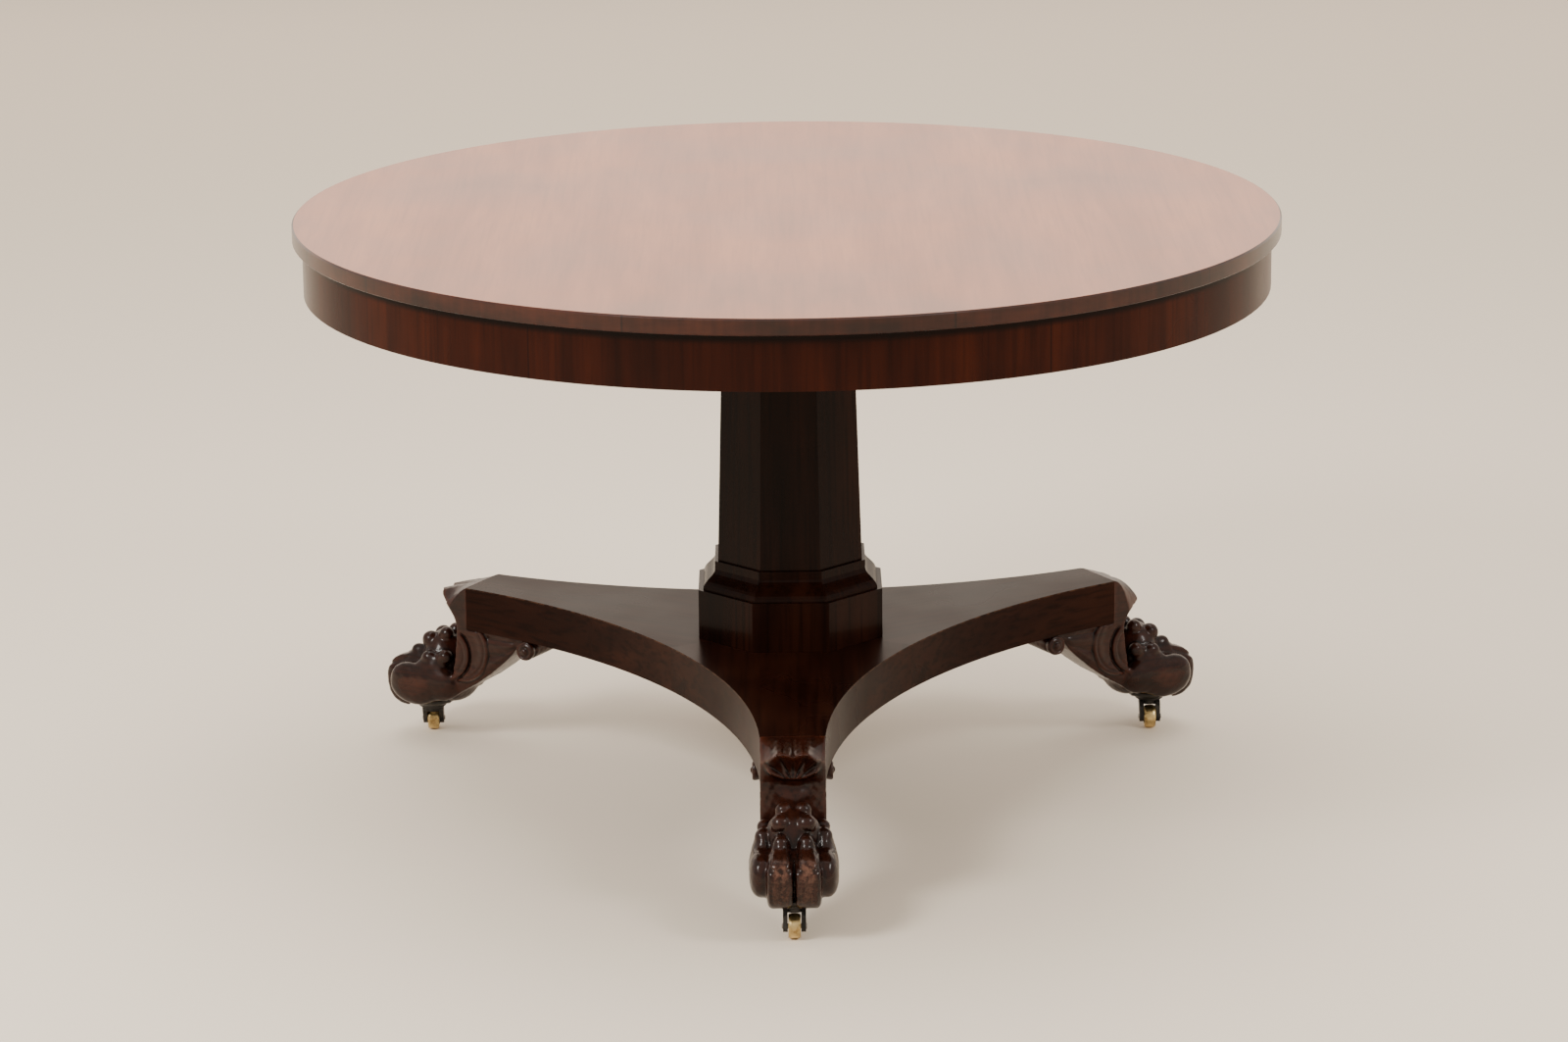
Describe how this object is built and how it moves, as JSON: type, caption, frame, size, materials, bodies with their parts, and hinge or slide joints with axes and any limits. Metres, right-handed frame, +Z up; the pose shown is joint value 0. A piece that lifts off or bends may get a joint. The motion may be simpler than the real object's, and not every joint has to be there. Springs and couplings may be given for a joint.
{
  "type": "tilt-top pedestal table",
  "caption": "Round tilt-top pedestal table with a deep frieze, an eight-sided tapered column, a three-armed platform and carved paw feet on swivel casters.",
  "frame": {"origin": "on the floor under the column axis", "axes": "+Z up, -Y towards the front arm of the platform, +X to the right seen from the front"},
  "size_m": [1.2198, 1.22, 0.752],
  "materials": {
    "mahogany_top": "polished",
    "mahogany_dark": "polished, worn at the edges",
    "softwood": "unpolished",
    "brass": "dulled",
    "iron": "blackened",
    "steel": "dull"
  },
  "bodies": {
    "base": {"pivot_block": "mahogany_dark", "pivot_pin_left": "steel", "pivot_pin_right": "steel", "keeper_plate": "brass", "keeper_screws": "brass", "column_shaft": "mahogany_dark", "column_collar": "mahogany_dark", "column_plinth": "mahogany_dark", "tie_rod": "iron", "tie_rod_nuts": "iron", "tie_rod_washers": "iron", "platform": "mahogany_dark", "paw_foot_front": "mahogany_dark", "paw_foot_right": "mahogany_dark", "paw_foot_left": "mahogany_dark", "end_leaf_front": "mahogany_dark", "end_leaf_right": "mahogany_dark", "end_leaf_left": "mahogany_dark", "foot_screws": "steel", "caster_pad_front": "iron", "caster_pad_right": "iron", "caster_pad_left": "iron", "caster_screws": "steel", "caster_post_front": "steel", "caster_post_right": "steel", "caster_post_left": "steel"},
    "top": {"top_board": "mahogany_top", "frieze_ring": "mahogany_top", "frieze_glue_blocks": "softwood", "bearer_left": "softwood", "bearer_right": "softwood", "bearer_screws": "steel", "catch_housing": "brass", "catch_screws": "brass"},
    "catch_bolt": {"catch_bolt": "brass"},
    "fork_front": {"caster_fork_front": "iron", "wheel_axle_front": "steel"},
    "wheel_front": {"caster_wheel_front": "brass"},
    "fork_right": {"caster_fork_right": "iron", "wheel_axle_right": "steel"},
    "wheel_right": {"caster_wheel_right": "brass"},
    "fork_left": {"caster_fork_left": "iron", "wheel_axle_left": "steel"},
    "wheel_left": {"caster_wheel_left": "brass"}
  },
  "joints": [
    {"name": "top_tilt", "type": "hinge", "parent": "base", "child": "top", "pos_m": [0, 0.165, 0.7015], "axis": [-1, 0, 0], "range_deg": [0, 90]},
    {"name": "catch_slide", "type": "slide", "parent": "top", "child": "catch_bolt", "axis": [0, 1, 0], "range_m": [0, 0.015]},
    {"name": "caster_swivel_front", "type": "hinge", "parent": "base", "child": "fork_front", "pos_m": [0, -0.547, 0.0335], "axis": [0, 0, 1], "continuous": true},
    {"name": "wheel_roll_front", "type": "hinge", "parent": "fork_front", "child": "wheel_front", "pos_m": [0, -0.561, 0.015], "axis": [1, 0, 0], "continuous": true},
    {"name": "caster_swivel_right", "type": "hinge", "parent": "base", "child": "fork_right", "pos_m": [0.47372, 0.2735, 0.0335], "axis": [0, 0, 1], "continuous": true},
    {"name": "wheel_roll_right", "type": "hinge", "parent": "fork_right", "child": "wheel_right", "pos_m": [0.47372, 0.2595, 0.015], "axis": [1, 0, 0], "continuous": true},
    {"name": "caster_swivel_left", "type": "hinge", "parent": "base", "child": "fork_left", "pos_m": [-0.47372, 0.2735, 0.0335], "axis": [0, 0, 1], "continuous": true},
    {"name": "wheel_roll_left", "type": "hinge", "parent": "fork_left", "child": "wheel_left", "pos_m": [-0.47372, 0.2875, 0.015], "axis": [1, 0, 0], "continuous": true}
  ]
}
